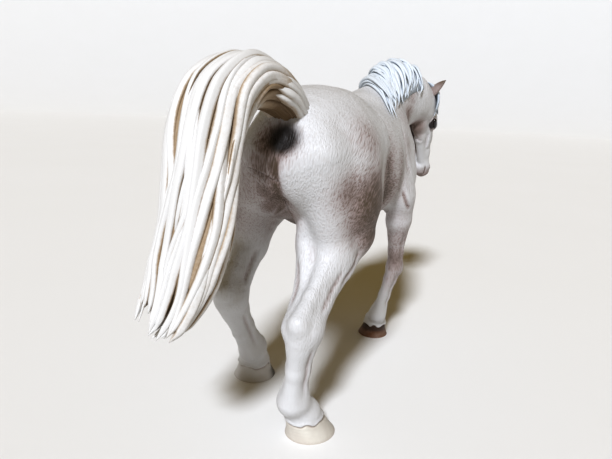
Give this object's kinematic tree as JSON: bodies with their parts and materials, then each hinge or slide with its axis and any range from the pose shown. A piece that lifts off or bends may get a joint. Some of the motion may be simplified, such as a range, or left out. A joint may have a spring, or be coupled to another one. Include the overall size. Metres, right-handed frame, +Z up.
{
  "type": "horse figurine",
  "caption": "Painted plastic figurine of a walking grey stallion with arched flowing tail, short tousled mane and head turned down to the right; stands on its hooves.",
  "frame": {"origin": "centre of the bounding box on the floor the hooves stand on", "axes": "+X the way the horse looks along its body, +Y to its left, +Z up"},
  "size_m": [0.1554, 0.046, 0.1027],
  "materials": {
    "painted_coat": "satin paint over moulded PVC, near-white with warm brown-grey airbrushed shading; pale cream hooves",
    "painted_mane": "satin bluish-white paint in moulded hair strands",
    "painted_tail": "satin white paint on raised hair strands with a brown wash in the grooves"
  },
  "bodies": {
    "root": {"torso": "painted_coat", "head_and_neck": "painted_coat", "mane": "painted_mane", "forelock": "painted_mane", "tail": "painted_tail", "right_hind_leg": "painted_coat", "left_hind_leg": "painted_coat", "right_foreleg": "painted_coat", "left_foreleg": "painted_coat"}
  },
  "joints": []
}
